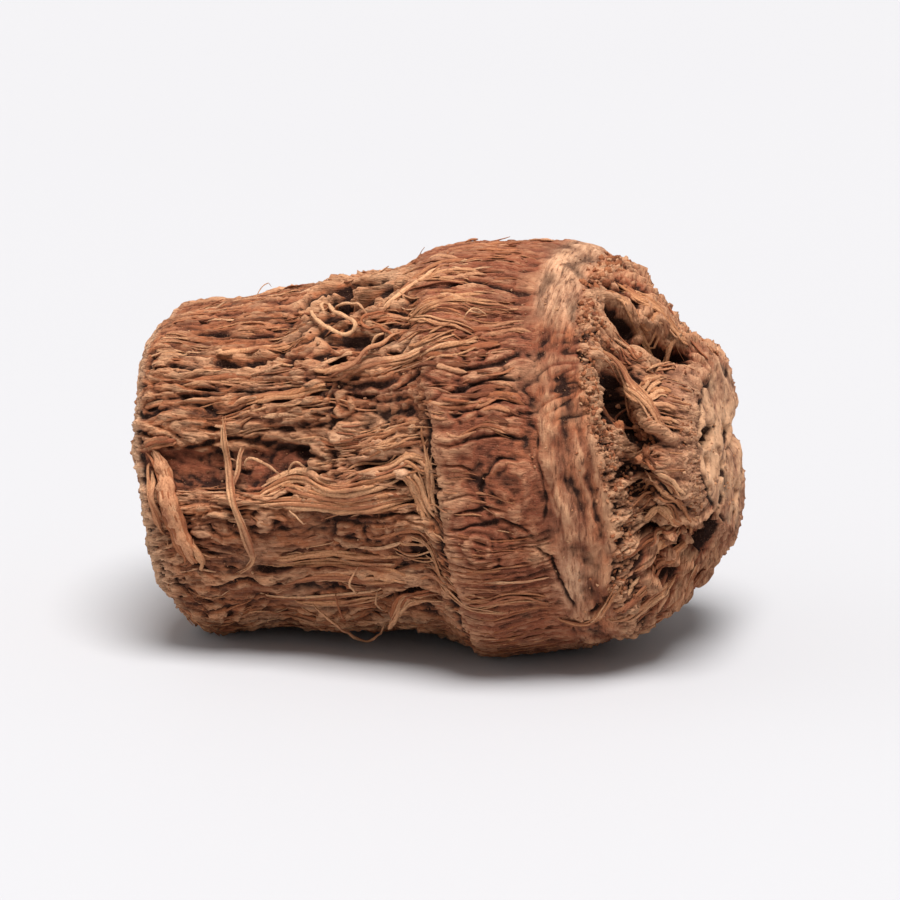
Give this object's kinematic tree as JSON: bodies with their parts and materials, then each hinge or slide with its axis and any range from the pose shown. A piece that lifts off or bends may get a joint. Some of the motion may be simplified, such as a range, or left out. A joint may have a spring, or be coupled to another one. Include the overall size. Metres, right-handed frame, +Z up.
{
  "type": "dried stillingia root",
  "caption": "Short thick chunk of dried fibrous taproot with a swollen collar and a folded crown, cut across at both ends, lying on its side.",
  "frame": {"origin": "centre of the bounding box's bottom, on the surface that the root rests on", "axes": "+X along the root from the shank's cut end to the crown, +Y from the front to the back, +Z up"},
  "size_m": [0.0594, 0.0422, 0.04],
  "materials": {
    "bark": "dry, matt, fibrous reddish-brown bark with pale tan bast fibres and dark crevices"
  },
  "bodies": {
    "root": {"stillingia_root": "bark"}
  },
  "joints": []
}
